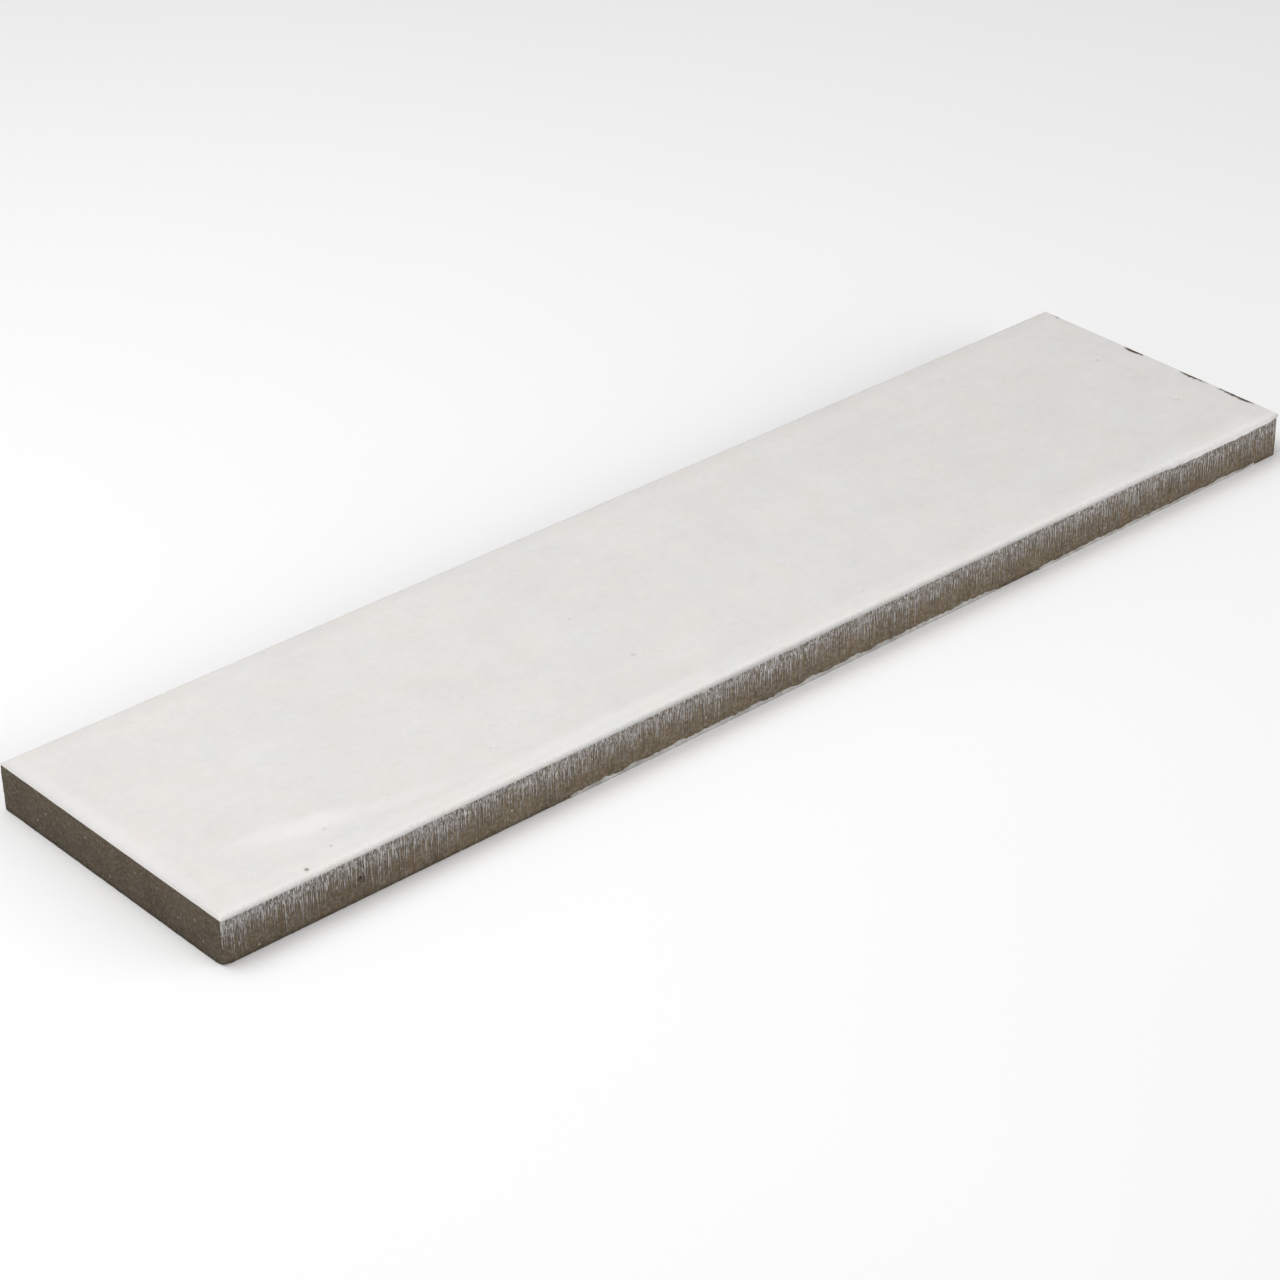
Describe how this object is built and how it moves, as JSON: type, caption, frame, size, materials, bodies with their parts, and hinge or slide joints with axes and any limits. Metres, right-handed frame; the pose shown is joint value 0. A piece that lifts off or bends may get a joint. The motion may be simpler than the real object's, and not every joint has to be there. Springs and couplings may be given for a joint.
{
  "type": "glazed wall tile",
  "caption": "Long narrow wall tile with a rounded off-white glaze, white slip streaked down its brown-grey fired sides, and a waffle back.",
  "frame": {"origin": "middle of the back, on the plane that the ribs bed on", "axes": "+X along the tile, +Y across it towards the back long edge, +Z out of the glazed face"},
  "size_m": [0.246, 0.06, 0.0095],
  "materials": {
    "stoneware": "fired, matte, fine grained",
    "white_slip": "fired slip, satin",
    "glaze": "gloss, pinholed, softly uneven",
    "run_slip": "thin streaked slip, matte",
    "kiln_wash": "powdery, matte"
  },
  "bodies": {
    "root": {"stoneware_body": "stoneware", "slip_coat": "white_slip", "glaze_coat": "glaze", "front_edge_runs": "run_slip", "back_edge_runs": "run_slip", "kiln_wash": "kiln_wash"}
  },
  "joints": []
}
